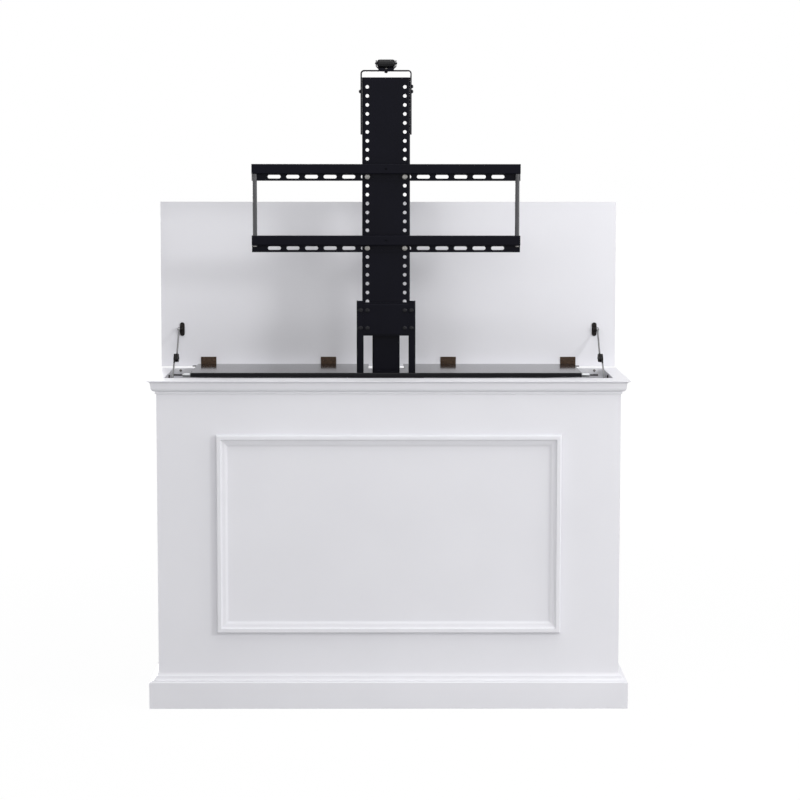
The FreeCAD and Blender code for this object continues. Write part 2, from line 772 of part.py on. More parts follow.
def hex_prism(centre, direction, across_flats, height):
    """Hexagon head or nut on a plane, standing along a row axis."""
    radius = across_flats / math.sqrt(3)
    side = AXIS_X if abs(direction.x) < 0.5 else AXIS_Y
    up = direction.cross(side)
    corners = []
    for number in range(6):
        turn = math.radians(60 * number)
        corners.append(centre + side * (radius * math.cos(turn)) + up * (radius * math.sin(turn)))
    return Part.Face(Part.makePolygon(corners + [corners[0]])).extrude(direction * height)


def make_guides():
    rack_x0, rack_x1 = lift_x + rack_x - rack_w / 2 - 1, lift_x + rack_x + rack_w / 2 + 1
    tips = pitch_line_y + rack_module + 1
    # ring in the mouth of the outer column, round the middle one
    half = outer_half - outer_wall
    z0 = outer_top - guide_h / 2
    ring = rounded_block(lift_x - half, lift_x + half, column_front + outer_wall,
                         outer_back - outer_wall, z0, outer_top, outer_round - outer_wall)
    flange = rounded_block(lift_x - outer_half, lift_x + outer_half, column_front, outer_back,
                           outer_top, outer_top + guide_flange, outer_round)
    hole = rounded_block(lift_x - middle_half - gap, lift_x + middle_half + gap, middle_front - gap,
                         middle_back + gap, z0, outer_top + guide_flange, middle_round + gap)
    path = box(rack_x0, rack_x1, middle_back - 5, tips, z0, outer_top + guide_flange)
    save("outer_guide", ring.fuse(flange).cut([hole, path]).removeSplitter())
    # block in the mouth of the middle column, round the inner one, with the upper belt axle
    z0 = middle_top - guide_h
    half = middle_half - middle_wall
    block = rounded_block(lift_x - half, lift_x + half, middle_front + middle_wall,
                          middle_back - middle_wall, z0, middle_top, middle_round - middle_wall)
    hole = rounded_block(lift_x - inner_half - gap, lift_x + inner_half + gap, inner_front - gap,
                         inner_back + gap, z0, middle_top, inner_round + gap)
    pocket_half = belt_w / 2 + 3.5
    x0, x1 = lift_x + belt_x - pocket_half, lift_x + belt_x + pocket_half
    pocket = box(x0, x1, inner_back, middle_back - middle_wall, z0, middle_top - 3)
    axle_z = middle_foot + pulley_top_up
    axle = rod(pulley_axle_r, V(x0 - 2, pulley_y, axle_z), V(x1 + 2, pulley_y, axle_z))
    save("middle_top_guide", block.cut([hole, pocket]).fuse(axle).removeSplitter())
    # foot of the middle column, running in the outer one, with the lower belt axle
    ring_half = outer_half - outer_wall - gap
    front, back = column_front + outer_wall + gap, outer_back - outer_wall - gap
    foot = rounded_block(lift_x - ring_half, lift_x + ring_half, front, back, middle_foot - 4.0,
                         middle_foot + guide_h, outer_round - outer_wall)
    room = rounded_block(lift_x - middle_half, lift_x + middle_half, middle_front, middle_back,
                         middle_foot, middle_foot + guide_h, middle_round)
    plug_top = middle_foot + pulley_bottom_up - pulley_r - belt_t - 6
    plug = rounded_block(lift_x - half, lift_x + half, middle_front + middle_wall,
                         middle_back - middle_wall, middle_foot, plug_top,
                         middle_round - middle_wall)
    axle_z = middle_foot + pulley_bottom_up
    ears = []
    for side in (x0 - 4, x1):
        ears.append(box(side, side + 4, pulley_y - 5, pulley_y + 5, plug_top, axle_z + 5))
    axle = rod(pulley_axle_r, V(x0 - 2, pulley_y, axle_z), V(x1 + 2, pulley_y, axle_z))
    save("middle_foot_guide", foot.cut(room).fuse([plug, axle] + ears).removeSplitter())
    # foot of the inner column, running in the middle one, with the belt's clamp
    clear = middle_half - middle_wall - gap
    y0, y1 = middle_front + middle_wall + gap, middle_back - middle_wall - gap
    z0, z1 = inner_bottom, inner_bottom + guide_h
    block = rounded_block(lift_x - clear, lift_x + clear, y0, y1, z0, z1,
                          middle_round - middle_wall)
    room = box(lift_x - clear - 1, lift_x, inner_back + 6.5, y1 + 1, z0, z1)
    hole = rounded_block(lift_x - inner_half, lift_x + inner_half, inner_front, inner_back, z0, z1,
                         inner_round)
    run_y = pulley_y - pulley_r - belt_t
    slit = box(lift_x + belt_x - belt_w / 2 - gap, lift_x + belt_x + belt_w / 2 + gap, run_y - gap,
               run_y + belt_t + gap, z0, z1)
    save("inner_foot_guide", block.cut([hole, slit, room]))


# ---- Drive ----
def make_rack():
    pitch = math.pi * rack_module
    lean = math.tan(math.radians(20))
    thick = pitch / 2 - 2 * backlash
    tip, root = pitch_line_y + rack_module, pitch_line_y - 1.25 * rack_module
    z0 = pinion_z - rack_over
    z1 = z0 + rack_length
    first = math.ceil((z0 + pitch / 2 - pinion_z) / pitch)
    last = math.floor((z1 - pitch / 2 - pinion_z) / pitch)
    points = [(middle_back, z0), (root, z0)]
    for number in range(first, last + 1):
        mid = pinion_z + number * pitch
        at_root = thick / 2 + 1.25 * rack_module * lean
        at_tip = thick / 2 - rack_module * lean
        points += [(root, mid - at_root), (tip, mid - at_tip), (tip, mid + at_tip),
                   (root, mid + at_root)]
    points += [(root, z1), (middle_back, z1)]
    x0 = lift_x + rack_x - rack_w / 2
    save("drive_rack", prism(points, side_at(x0), V(rack_w, 0, 0)))


def involute_tooth(turn):
    """Points of one gear tooth about an angle, root to root."""
    base = pinion_r * math.cos(math.radians(20))
    root, tip = pinion_r - 1.25 * rack_module, pinion_r + rack_module

    def swing(radius):
        roll = math.sqrt(max((radius / base) ** 2 - 1, 0.0))
        return roll - math.atan(roll)

    half = math.pi / (2 * pinion_teeth) - backlash / pinion_r + swing(pinion_r)
    radii = [base + (tip - base) * share for share in (0.0, 0.35, 0.7, 1.0)]
    flank = [(root, half)] + [(radius, half - swing(radius)) for radius in radii]
    side = [(radius, turn - angle) for radius, angle in flank]
    side += [(radius, turn + angle) for radius, angle in reversed(flank)]
    return side


def make_pinion():
    x0 = lift_x + rack_x - pinion_w / 2
    step = 2 * math.pi / pinion_teeth
    points = []
    for number in range(pinion_teeth):
        for radius, turn in involute_tooth(math.pi + (number + 0.5) * step):
            points.append(V(x0, pinion_y + radius * math.cos(turn), pinion_z + radius * math.sin(turn)))
    gear = Part.Face(Part.makePolygon(points + [points[0]])).extrude(V(pinion_w, 0, 0))
    shaft = rod(pinion_shaft_r, V(lift_x - 20, pinion_y, pinion_z),
                V(lift_x + gearbox_half - 2, pinion_y, pinion_z))
    save("drive_pinion", gear.fuse(shaft).removeSplitter())


def make_gearbox():
    y1 = outer_back + gearbox_deep
    z0, z1 = pinion_z - gearbox_h / 2, pinion_z + gearbox_h / 2
    case = rounded_block(lift_x - gearbox_half, lift_x + gearbox_half, outer_back, y1, z0, z1,
                         gearbox_round)
    room = rod(pinion_r + rack_module + 1.0, V(lift_x + rack_x - rack_w / 2, pinion_y, pinion_z),
               V(lift_x + rack_x + rack_w / 2, pinion_y, pinion_z))
    bore = rod(pinion_shaft_r + running, V(lift_x - 22, pinion_y, pinion_z),
               V(lift_x + gearbox_half, pinion_y, pinion_z))
    save("gearbox", case.cut([room, bore]))
    centre_y = outer_back + bracket_t + motor_r + 1.0
    can = Part.makeCylinder(motor_r, motor_h, V(lift_x, centre_y, z0 - motor_h))
    cap = Part.makeCylinder(motor_r - motor_cap_in, motor_cap_h,
                            V(lift_x, centre_y, z0 - motor_h - motor_cap_h))
    save("drive_motor", can.fuse(cap).removeSplitter())


def make_belt():
    x0, x1 = lift_x + belt_x - belt_w / 2, lift_x + belt_x + belt_w / 2
    low, high = middle_foot + pulley_bottom_up, middle_foot + pulley_top_up

    def loop(r):
        steps = [(pulley_y - r, low), ((pulley_y, low - r), (pulley_y + r, low)), (pulley_y + r, high),
                 ((pulley_y, high + r), (pulley_y - r, high)), (pulley_y - r, low)]
        return prism(steps, side_at(x0), V(x1 - x0, 0, 0))

    save("lift_belt", loop(pulley_r + belt_t).cut(loop(pulley_r)))
    for name, z in (("belt_pulley_top", high), ("belt_pulley_bottom", low)):
        drum = rod(pulley_r - gap, V(x0 - 2.2, pulley_y, z), V(x1 + 2.2, pulley_y, z))
        rims = [rod(pulley_r + belt_t + 0.3, V(a, pulley_y, z), V(b, pulley_y, z))
                for a, b in ((x0 - 2.2, x0 - 0.5), (x1 + 0.5, x1 + 2.2))]
        bore = rod(pulley_axle_r + running, V(x0 - 3, pulley_y, z), V(x1 + 3, pulley_y, z))
        save(name, drum.fuse(rims).cut(bore).removeSplitter())


def make_belt_anchor():
    run_y = pulley_y + pulley_r
    x0, x1 = lift_x + belt_x - belt_w / 2, lift_x + belt_x + belt_w / 2
    z0, z1 = anchor_z, anchor_z + anchor_h
    wall = outer_back - outer_wall
    block = box(x0 - 3.0, x1 + 1.5, run_y - 2.5, wall - 3.0, z0, z1)
    slit = box(x0 - gap, x1 + 2.0, run_y - gap, run_y + belt_t + gap, z0, z1)
    foot = box(x0 - 6.0, x1 + 6.0, wall - 3.0, wall, z0 - 4.0, z1 + 2.0)
    save("belt_anchor", block.cut(slit).fuse(foot).removeSplitter())


def make_control_box():
    """Power and control box on the left wall, with its mains inlet and two sockets."""
    w, d, h = control_box_w, control_box_d, control_box_h
    x0, y0, z0 = -inside_half, control_box_y, control_box_z
    top = z0 + h
    case = prism(rounded(y0, y0 + d, z0, top, control_box_round), side_at(x0), V(w, 0, 0))
    x = x0 + (w - inlet_w) / 2
    y = y0 + inlet_deep
    cuts = [box(x, x + inlet_w, y, y + inlet_l, top - inlet_deep, top)]
    x = x0 + (w - socket_w) / 2
    for number in range(2):
        y = y0 + d / 2 + number * socket_pitch
        cuts.append(box(x, x + socket_w, y, y + socket_w, top - socket_deep, top))
    save("control_box", case.cut(cuts))


# ---- Carriage ----
def make_post():
    t, r = post_sheet, post_bend
    out, y0, y1 = post_half, post_front, post_front + post_flange
    k = r * (1 - math.sqrt(0.5))
    ki = t + (r - t) * (1 - math.sqrt(0.5))
    steps = [(-out, y1), (-out, y0 + r), ((-out + k, y0 + k), (-out + r, y0)), (out - r, y0),
             ((out - k, y0 + k), (out, y0 + r)), (out, y1), (out - t, y1), (out - t, y0 + r),
             ((out - ki, y0 + ki), (out - r, y0 + t)), (-out + r, y0 + t),
             ((-out + ki, y0 + ki), (-out + t, y0 + r)), (-out + t, y1)]
    steps = [shift_x(step, lift_x) for step in steps]
    channel = prism(steps, flat_at(post_bottom), V(0, 0, post_top - post_bottom))
    holes = []
    for row in range(hole_rows):
        z = hole_row_top - row * hole_pitch
        for side in (-1, 1):
            x = lift_x + side * hole_spacing / 2
            holes.append(rod(hole_r, V(x, y0 - 1, z), V(x, y0 + t + 1, z)))
    save("post_plate", channel.cut(holes))
    # spacer that hangs the post on the inner column's head
    spacer = tube(inner_half - inner_under_post, post_front + post_sheet, inner_front,
                  inner_top - spacer_drop, inner_top, spacer_wall, spacer_wall + gap)
    save("post_spacer", spacer)


def shift_x(step, by):
    """Move a point, or an arc's pair of points, along X."""
    if isinstance(step[0], tuple):
        return tuple((a + by, b) for a, b in step)
    return (step[0] + by, step[1])


def make_cover():
    y1 = post_front
    y0 = y1 - carriage_plate_t
    plate = box(lift_x - carriage_plate_half, lift_x + carriage_plate_half, y0, y1, carriage_plate_z,
                carriage_plate_z + carriage_plate_h)
    cuts = screw_holes(y0 - 1, y1 + 1, hole_spacing / 2) + screw_holes(y0 - 1, y1 + 1, screw_out)
    save("carriage_plate", plate.cut(cuts))
    r = cover_round
    k = r * (1 - math.sqrt(0.5))
    front = y0 - cover_t
    steps = [(y0, cover_z0), (front, cover_z0), (front, cover_z1 - r),
             ((front + k, cover_z1 - k), (front + r, cover_z1)), (y0, cover_z1)]
    cover = prism(steps, side_at(lift_x - cover_half), V(2 * cover_half, 0, 0))
    save("cover_plate", cover.cut(screw_holes(front - 1, y0 + 1, hole_spacing / 2)))
    screws = []
    for row in screw_rows:
        z = hole_row_top - row * hole_pitch
        for side in (-1, 1):
            screws.append(button_screw(V(lift_x + side * hole_spacing / 2, front, z),
                                       y1 + post_sheet, True))
            screws.append(button_screw(V(lift_x + side * screw_out, y0 - hanger_t, z), y1, False))
    save("cover_screws", *screws)
    out, face_y, r = hanger_out, y0 - hanger_t, hanger_round
    k = r * (1 - math.sqrt(0.5))
    angle = [(out - hanger_w, y0), (out - hanger_w, face_y), (out - r, face_y),
             ((out - k, face_y + k), (out, face_y + r)), (out, face_y + hanger_side),
             (out - hanger_t, face_y + hanger_side), (out - hanger_t, y0)]
    bar = prism(angle, flat_at(shelf_top), V(0, 0, hanger_top - shelf_top))
    foot = box(hanger_out - hanger_w, hanger_out - hanger_t, y0, y0 - hanger_t + hanger_side,
               shelf_top, shelf_top + hanger_t)
    hanger = bar.fuse(foot).removeSplitter()
    left = mirrored(hanger)
    for shape in (hanger, left):
        shape.translate(V(lift_x, 0, 0))
    cuts = screw_holes(y0 - hanger_t - 1, y0 + 1, screw_out)
    save("shelf_hangers", left.cut(cuts), hanger.cut(cuts))


def screw_holes(y0, y1, out):
    """Cutters for the carriage screws at one distance each side of the lift's centre."""
    cutters = []
    for row in screw_rows:
        z = hole_row_top - row * hole_pitch
        for side in (-1, 1):
            x = lift_x + side * out
            cutters.append(rod(screw_r + running, V(x, y0, z), V(x, y1, z)))
    return cutters


def button_screw(seat, end_y, with_nut):
    """Round-headed screw from its seat back to a plane, with or without a nut there."""
    profile = [(0.0, 0.0), (screw_head_r, 0.0), (screw_head_r * 0.55, -screw_head_h),
               (0.0, -screw_head_h)]
    head = face(profile, lambda a, b: V(seat.x + a, seat.y + b, seat.z))
    head = head.revolve(seat, AXIS_Y, 360)
    end = V(seat.x, end_y, seat.z)
    pieces = [rod(screw_r, seat, end)]
    if with_nut:
        pieces.append(hex_prism(end, AXIS_Y, nut_flats, nut_h))
    return head.fuse(pieces).removeSplitter()


def make_shelf():
    x0, x1 = lift_x - shelf_half, lift_x + shelf_half
    y0, y1 = shelf_front, shelf_back
    notch_y = column_front - shelf_notch_clear
    r = shelf_edge_r
    k = r * (1 - math.sqrt(0.5))
    edge = [(y0, shelf_bottom), (y1, shelf_bottom), (y1, shelf_top), (y0 + r, shelf_top),
            ((y0 + k, shelf_top - k), (y0, shelf_top - r))]
    board = prism(edge, side_at(x0), V(x1 - x0, 0, 0))
    notch = rounded_block(lift_x - shelf_notch_half, lift_x + shelf_notch_half, notch_y,
                          cabinet_depth, shelf_bottom - shelf_t, shelf_top + shelf_t,
                          shelf_notch_round)
    save("shelf_board", board.cut(notch))
    plate = rounded_block(lift_x - shelf_plate_half, lift_x + shelf_plate_half, y0, shelf_plate_back,
                          shelf_bottom - shelf_plate_t, shelf_bottom, 6.0)
    save("shelf_plate", plate.cut(notch))


def make_bars():
    t = bar_sheet
    back, front = post_front, post_front - bar_proud
    for name, row in zip(("mount_bar_top", "mount_bar_bottom"), bar_rows):
        z = hole_row_top - row * hole_pitch
        low, fold = z - bar_flange_below, z + bar_flange_above
        high = fold + bar_band
        r, ri = t + bar_bend, bar_bend
        k, ki = r * (1 - math.sqrt(0.5)), t + ri * (1 - math.sqrt(0.5))
        steps = [(back, low), (back, fold + t), (front + r, fold + t),
                 ((front + ki, fold + ki), (front + t, fold + r)), (front + t, high - r),
                 ((front + ki, high - ki), (front + r, high - t)), (back, high - t), (back, high),
                 (front + r, high), ((front + k, high - k), (front, high - r)), (front, fold + r),
                 ((front + k, fold + k), (front + r, fold)), (back - t, fold), (back - t, low)]
        bar = prism(steps, side_at(lift_x - bar_half), V(2 * bar_half, 0, 0))
        cuts = []
        for number in range(slot_count):
            x = lift_x + (number - (slot_count - 1) / 2) * slot_pitch
            cuts.append(slot_cutter(V(x, back - t - 1, z), slot_l, slot_w, AXIS_X, V(0, t + 2, 0)))
        for side in (-1, 1):
            x = lift_x + side * rod_half
            rod_y = front + t + rod_r + bar_bend
            ends = (fold - 1, fold + t + 1) if row == bar_rows[0] else (fold - 1, high + 1)
            cuts.append(rod(rod_r, V(x, rod_y, ends[0]), V(x, rod_y, ends[1])))
        cuts.append(rod(bar_centre_hole_r, V(lift_x, front - 1, fold + bar_band / 2),
                        V(lift_x, front + t + 1, fold + bar_band / 2)))
        save(name, bar.cut(cuts))
    z_top = hole_row_top - bar_rows[0] * hole_pitch + bar_flange_above + bar_band - t
    z_low = hole_row_top - bar_rows[1] * hole_pitch + bar_flange_above - rod_past
    rod_y = front + t + rod_r + bar_bend
    save("end_rods", *[rod(rod_r, V(lift_x + side * rod_half, rod_y, z_low),
                           V(lift_x + side * rod_half, rod_y, z_top)) for side in (-1, 1)])
    bolts = []
    for row in bar_rows:
        for side in (-1, 1):
            bolts.append(flange_bolt(V(lift_x + side * hole_spacing / 2, back - t,
                                       hole_row_top - row * hole_pitch)))
    save("mount_bolts", *bolts)


def flange_bolt(seat):
    """Flange-head bolt through a bar and the post, with its nut behind."""
    washer = rod(bolt_flange_r, seat, seat - V(0, bolt_flange_t, 0))
    head = hex_prism(seat, AXIS_Y * -1, bolt_hex, bolt_head_h)
    grip = bar_sheet + post_sheet
    shank = rod(bolt_shank_r, seat, seat + V(0, grip + bolt_past, 0))
    nut = hex_prism(seat + V(0, grip, 0), AXIS_Y, bolt_hex, bolt_nut_h)
    return washer.fuse([head, shank, nut]).removeSplitter()


def make_pusher():
    out = post_half + gap + strap_t
    t, r = strap_t, strap_round
    k, ki = r * (1 - math.sqrt(0.5)), t + (r - t) * (1 - math.sqrt(0.5))
    low, high = strap_bottom, strap_top
    steps = [(-out, low), (-out, high - r), ((-out + k, high - k), (-out + r, high)), (out - r, high),
             ((out - k, high - k), (out, high - r)), (out, low), (out - t, low), (out - t, high - r),
             ((out - ki, high - ki), (out - r, high - t)), (-out + r, high - t),
             ((-out + ki, high - ki), (-out + t, high - r)), (-out + t, low)]
    steps = [shift_x(step, lift_x) for step in steps]
    y0 = post_mid_y - strap_w / 2
    strap = prism(steps, front_at(y0), V(0, strap_w, 0))
    hole = rod(stud_r + running, V(lift_x, post_mid_y, high - t), V(lift_x, post_mid_y, high))
    save("pusher_strap", strap.cut(hole))
    save("pusher_fork", make_fork())
    end, step, h, r = roller_end_r, roller_end_step, roller_half, roller_r
    bore = roller_axle_r + running
    outline = [(-h, bore), (-h, r - end), (-h + step, r - step), (-h + end, r), (h - end, r),
               (h - step, r - step), (h, r - end), (h, bore)]
    spin = face(outline, lambda a, b: V(lift_x + a, post_mid_y, roller_z + b))
    save("pusher_roller", spin.revolve(V(lift_x, post_mid_y, roller_z), AXIS_X, 360))


def make_fork():
    """Cradle of the roller: flared cheeks with round heads, a low wall behind, the axle, and a stud
    through the strap."""
    foot, half, t, z = fork_foot, fork_half, fork_t, strap_top
    head = roller_z + fork_w / 2
    right = [(foot, z), (foot, z + fork_lip), (half, z + fork_knee), (half, head), (half - t, head),
             (half - t, z + fork_knee + 1.0), (foot - fork_lip, z + fork_pad),
             (fork_recess, z + fork_pad), (fork_recess, z + t)]
    left = [(-a, b) for a, b in reversed(right)]
    outline = [(lift_x + a, b) for a, b in right + left]
    y0, y1 = post_mid_y - fork_w / 2, post_mid_y + fork_w / 2
    cradle = prism(outline, front_at(y0), V(0, fork_w, 0))
    side = [(y0, z), (y1, z), (y1, roller_z), ((post_mid_y, head), (y0, roller_z))]
    cradle = cradle.common(prism(side, side_at(lift_x - half), V(2 * half, 0, 0)))
    axle = rod(roller_axle_r, V(lift_x - half - axle_past, post_mid_y, roller_z),
               V(lift_x + half + axle_past, post_mid_y, roller_z))
    stud = rod(stud_r, V(lift_x, post_mid_y, z - strap_t - stud_past), V(lift_x, post_mid_y, z))
    nut = hex_prism(V(lift_x, post_mid_y, z - strap_t - stud_nut_h), AXIS_Z, stud_nut_flats,
                    stud_nut_h)
    spread = (half - foot) * (fork_wall_h - fork_lip) / (fork_knee - fork_lip)
    wall = [(foot, z), (foot, z + fork_lip), (foot + spread, z + fork_wall_h)]
    wall = wall + [(-a, b) for a, b in reversed(wall)]
    back = prism([(lift_x + a, b) for a, b in wall], front_at(y1 - fork_wall_t), V(0, fork_wall_t, 0))
    return cradle.fuse([back, axle, stud, nut]).removeSplitter()


def main():
    make_boards()
    make_battens()
    make_glides()
    make_mouldings()
    make_frames()
    make_lid()
    make_hinges()
    make_stays()
    make_columns()
    make_guides()
    make_rack()
    make_pinion()
    make_gearbox()
    make_belt()
    make_belt_anchor()
    make_control_box()
    make_post()
    make_cover()
    make_shelf()
    make_bars()
    make_pusher()
    os.makedirs("parts", exist_ok=True)
    for name, shape in parts.items():
        placed = shape.copy()
        placed.translate(V(0, -middle_of_depth, 0))
        placed.exportStep("parts/" + name + ".step")
        print(name, "valid" if placed.isValid() else "INVALID", len(placed.Solids))


main()
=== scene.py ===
import json
import math

import bmesh
import bpy
from mathutils import Matrix, Vector


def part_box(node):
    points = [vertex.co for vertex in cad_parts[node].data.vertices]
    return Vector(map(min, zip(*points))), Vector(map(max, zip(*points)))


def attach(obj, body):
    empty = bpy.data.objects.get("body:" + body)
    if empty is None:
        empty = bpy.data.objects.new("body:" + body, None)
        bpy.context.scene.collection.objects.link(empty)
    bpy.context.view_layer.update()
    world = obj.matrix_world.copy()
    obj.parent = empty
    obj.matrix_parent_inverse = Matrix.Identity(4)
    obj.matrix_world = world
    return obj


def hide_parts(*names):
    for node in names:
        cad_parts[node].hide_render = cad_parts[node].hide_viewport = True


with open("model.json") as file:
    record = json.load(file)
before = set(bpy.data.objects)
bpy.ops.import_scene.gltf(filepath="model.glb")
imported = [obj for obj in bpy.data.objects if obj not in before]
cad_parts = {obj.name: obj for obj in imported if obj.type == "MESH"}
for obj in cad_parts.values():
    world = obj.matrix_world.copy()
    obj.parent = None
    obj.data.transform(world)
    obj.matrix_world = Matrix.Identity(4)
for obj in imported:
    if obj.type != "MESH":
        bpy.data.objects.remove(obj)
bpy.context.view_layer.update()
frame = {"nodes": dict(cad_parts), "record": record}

# TV lift cabinet: white painted cabinet and lid, black powder-coated lift. Metres, in the frame of the CAD:
# X to the right, Y from the front to the back, Z up from the floor.

X, Y, Z = Vector((1, 0, 0)), Vector((0, 1, 0)), Vector((0, 0, 1))
MM = 0.001
SIDES = ((-1, "left"), (1, "right"))


def low(node):
    return Vector(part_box(node)[0])


def high(node):
    return Vector(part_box(node)[1])


def middle(node):
    return (low(node) + high(node)) / 2


# ---- Driving places, read from the frame or set as in the CAD's source ----
LIFT_X = middle("post_plate").x
POST_Y = low("post_plate").y
LIP_Y = low("crown_front").y

# The post's holes: place of the top row, distance between rows, and the columns' distance from the middle.
HOLE_TOP = high("post_plate").z - 0.0265
HOLE_PITCH = 0.025
HOLE_OUT = 0.05265
BAR_ROWS = (10, 18)
COVER_ROWS = (25, 27)
HANGER_SCREW_OUT = 0.0716
POST_SHEET = 0.003
HANGER_SHEET = 0.003

# The lid's lean at rest, its hinges from left to right, and the middle and upper pivots of its stays.
LID_LEAN = math.radians(1.25)
HINGE_X = (-0.524, -0.524 / 3, 0.524 / 3, 0.524)
KNUCKLE = Vector((0, LIP_Y + 0.3771, 0.9508))
STAY_TOP = Vector((0, LIP_Y + 0.4774, 1.0267))

# The world's light on the object, and the white that camera and reflections see behind it and on the floor.
WORLD_LIGHT = 0.24
BACKDROP_LIGHT = 1.0
FLOOR_LIGHT = 1.03

# Share of that white on the floor under the object, and the distances between which it grows to all of it.
FLOOR_GLOW = 0.94
GLOW_NEAR, GLOW_FAR = 1.5, 7.0

SHARP_EDGE = math.radians(32)
GRAIN_DEPTH = 0.0002


# ---- Materials ----
def noise(tree, scale, detail, vector):
    node = tree.nodes.new("ShaderNodeTexNoise")
    node.inputs["Scale"].default_value = scale
    node.inputs["Detail"].default_value = detail
    node.inputs["Roughness"].default_value = 0.55
    tree.links.new(vector, node.inputs["Vector"])
    return node.outputs["Fac"]


def stretched(tree, scale):
    coords = tree.nodes.new("ShaderNodeTexCoord")
    mapping = tree.nodes.new("ShaderNodeMapping")
    mapping.inputs["Scale"].default_value = scale
    tree.links.new(coords.outputs["Object"], mapping.inputs["Vector"])
    return mapping.outputs["Vector"]


def ramp(tree, source, dark, light):
    node = tree.nodes.new("ShaderNodeValToRGB")
    for element, position, colour in zip(node.color_ramp.elements, (0.3, 0.7), (dark, light)):
        element.position = position
        element.color = (*colour, 1)
    tree.links.new(source, node.inputs["Fac"])
    return node.outputs["Color"]


def spread(tree, source, given, wanted):
    """Range of a value brought to another range."""
    node = tree.nodes.new("ShaderNodeMapRange")
    node.inputs["From Min"].default_value, node.inputs["From Max"].default_value = given
    node.inputs["To Min"].default_value, node.inputs["To Max"].default_value = wanted
    tree.links.new(source, node.inputs["Value"])
    return node.outputs["Result"]


def finish_of(name, dark, light, rough, patch, grain, bump, metal=0.0, specular=0.5, stretch=(1, 1, 1)):
    """Surface with slightly uneven colour and gloss, in patches, and a fine grain."""
    material = bpy.data.materials.new(name)
    material.use_nodes = True
    tree = material.node_tree
    shader = tree.nodes["Principled BSDF"]
    shader.inputs["Metallic"].default_value = metal
    shader.inputs["Specular IOR Level"].default_value = specular
    vector = stretched(tree, stretch)
    patches = noise(tree, patch, 3.0, vector)
    fine = noise(tree, grain, 2.0, vector)
    tree.links.new(ramp(tree, patches, dark, light), shader.inputs["Base Color"])
    gloss = spread(tree, patches, (0.3, 0.7), (rough * 0.85, rough * 1.15))
    tree.links.new(gloss, shader.inputs["Roughness"])
    bumps = tree.nodes.new("ShaderNodeBump")
    bumps.inputs["Strength"].default_value = bump
    bumps.inputs["Distance"].default_value = GRAIN_DEPTH
    tree.links.new(fine, bumps.inputs["Height"])
    tree.links.new(bumps.outputs["Normal"], shader.inputs["Normal"])
    return material


def blacken_knuckle(material):
    """Black over the height of the knuckle block, on a stay's arm."""
    tree = material.node_tree
    shader = tree.nodes["Principled BSDF"]
    coords = tree.nodes.new("ShaderNodeTexCoord")
    axes = tree.nodes.new("ShaderNodeSeparateXYZ")
    tree.links.new(coords.outputs["Object"], axes.inputs["Vector"])
    height = tree.nodes.new("ShaderNodeMath")
    height.operation = "SUBTRACT"
    height.inputs[1].default_value = KNUCKLE.z
    tree.links.new(axes.outputs["Z"], height.inputs[0])
    off = tree.nodes.new("ShaderNodeMath")
    off.operation = "ABSOLUTE"
    tree.links.new(height.outputs[0], off.inputs[0])
    bare = spread(tree, off.outputs[0], (0.0128, 0.0136), (0.0, 1.0))
    steel = shader.inputs["Base Color"].links[0].from_socket
    blend = tree.nodes.new("ShaderNodeMix")
    blend.data_type = "RGBA"
    blend.inputs[6].default_value = (0.010, 0.009, 0.009, 1)
    tree.links.new(bare, blend.inputs["Factor"])
    tree.links.new(steel, blend.inputs[7])
    tree.links.new(blend.outputs[2], shader.inputs["Base Color"])


